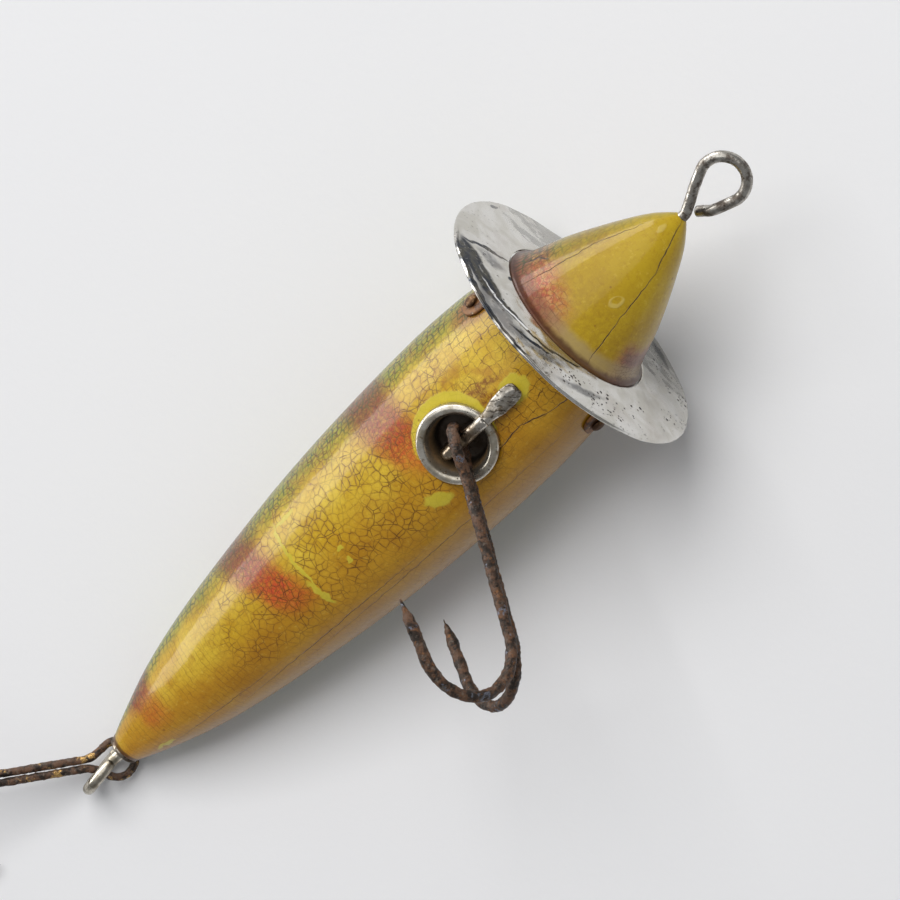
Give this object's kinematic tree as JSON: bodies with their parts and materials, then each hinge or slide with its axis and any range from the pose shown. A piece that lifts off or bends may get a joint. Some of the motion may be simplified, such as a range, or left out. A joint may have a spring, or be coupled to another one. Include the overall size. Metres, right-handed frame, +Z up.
{
  "type": "wooden surface fishing plug",
  "caption": "Turned wooden topwater plug with a fixed round metal collar round its head, a belly cup with a hanging double hook, a nose line tie and a tail eye with a double hook.",
  "frame": {"origin": "under the middle of the whole lure, on the surface that it lies on, belly up", "axes": "+X level from the tail towards the nose and line tie, +Z up, so -Y is the side that the belly hook hangs over; the lure's own axis rises towards the nose"},
  "size_m": [0.1226, 0.045, 0.039],
  "materials": {
    "wood_lacquer": "hand-painted yellow lacquer over turned wood, crackled and glossy",
    "collar_nickel": "polished nickel plate with dark pits",
    "pin_brass": "dull brown brass",
    "line_tie_nickel": "worn nickel-plated wire",
    "cup_nickel": "nickel plate, tarnished",
    "hanger_nickel": "nickel-plated wire, tarnished brown in the cup",
    "belly_hook_rust": "heavily rusted steel wire",
    "washer_nickel": "dull plated steel",
    "tail_eye_nickel": "nickel-plated wire",
    "tail_hook_rust": "rusted steel wire with brassy patches"
  },
  "bodies": {
    "lure": {"wood_body": "wood_lacquer", "collar": "collar_nickel", "collar_pin_1": "pin_brass", "collar_pin_2": "pin_brass", "collar_pin_3": "pin_brass", "line_tie": "line_tie_nickel", "hook_cup": "cup_nickel", "hook_hanger": "hanger_nickel", "tail_washer": "washer_nickel", "tail_screw_eye": "tail_eye_nickel"},
    "belly_hook": {"belly_hook": "belly_hook_rust"},
    "tail_hook": {"tail_hook": "tail_hook_rust"}
  },
  "joints": [
    {"name": "belly_hook_swing", "type": "hinge", "parent": "lure", "child": "belly_hook", "pos_m": [0.02065, 0.00072, 0.02403], "axis": [-0.9154, 0.0421, -0.4004], "range_deg": [0, 120]},
    {"name": "tail_hook_swing", "type": "hinge", "parent": "lure", "child": "tail_hook", "pos_m": [-0.03721, 0.00252, 0.00166], "axis": [-0.3476, 0.1504, -0.9255], "range_deg": [0, 110]}
  ]
}
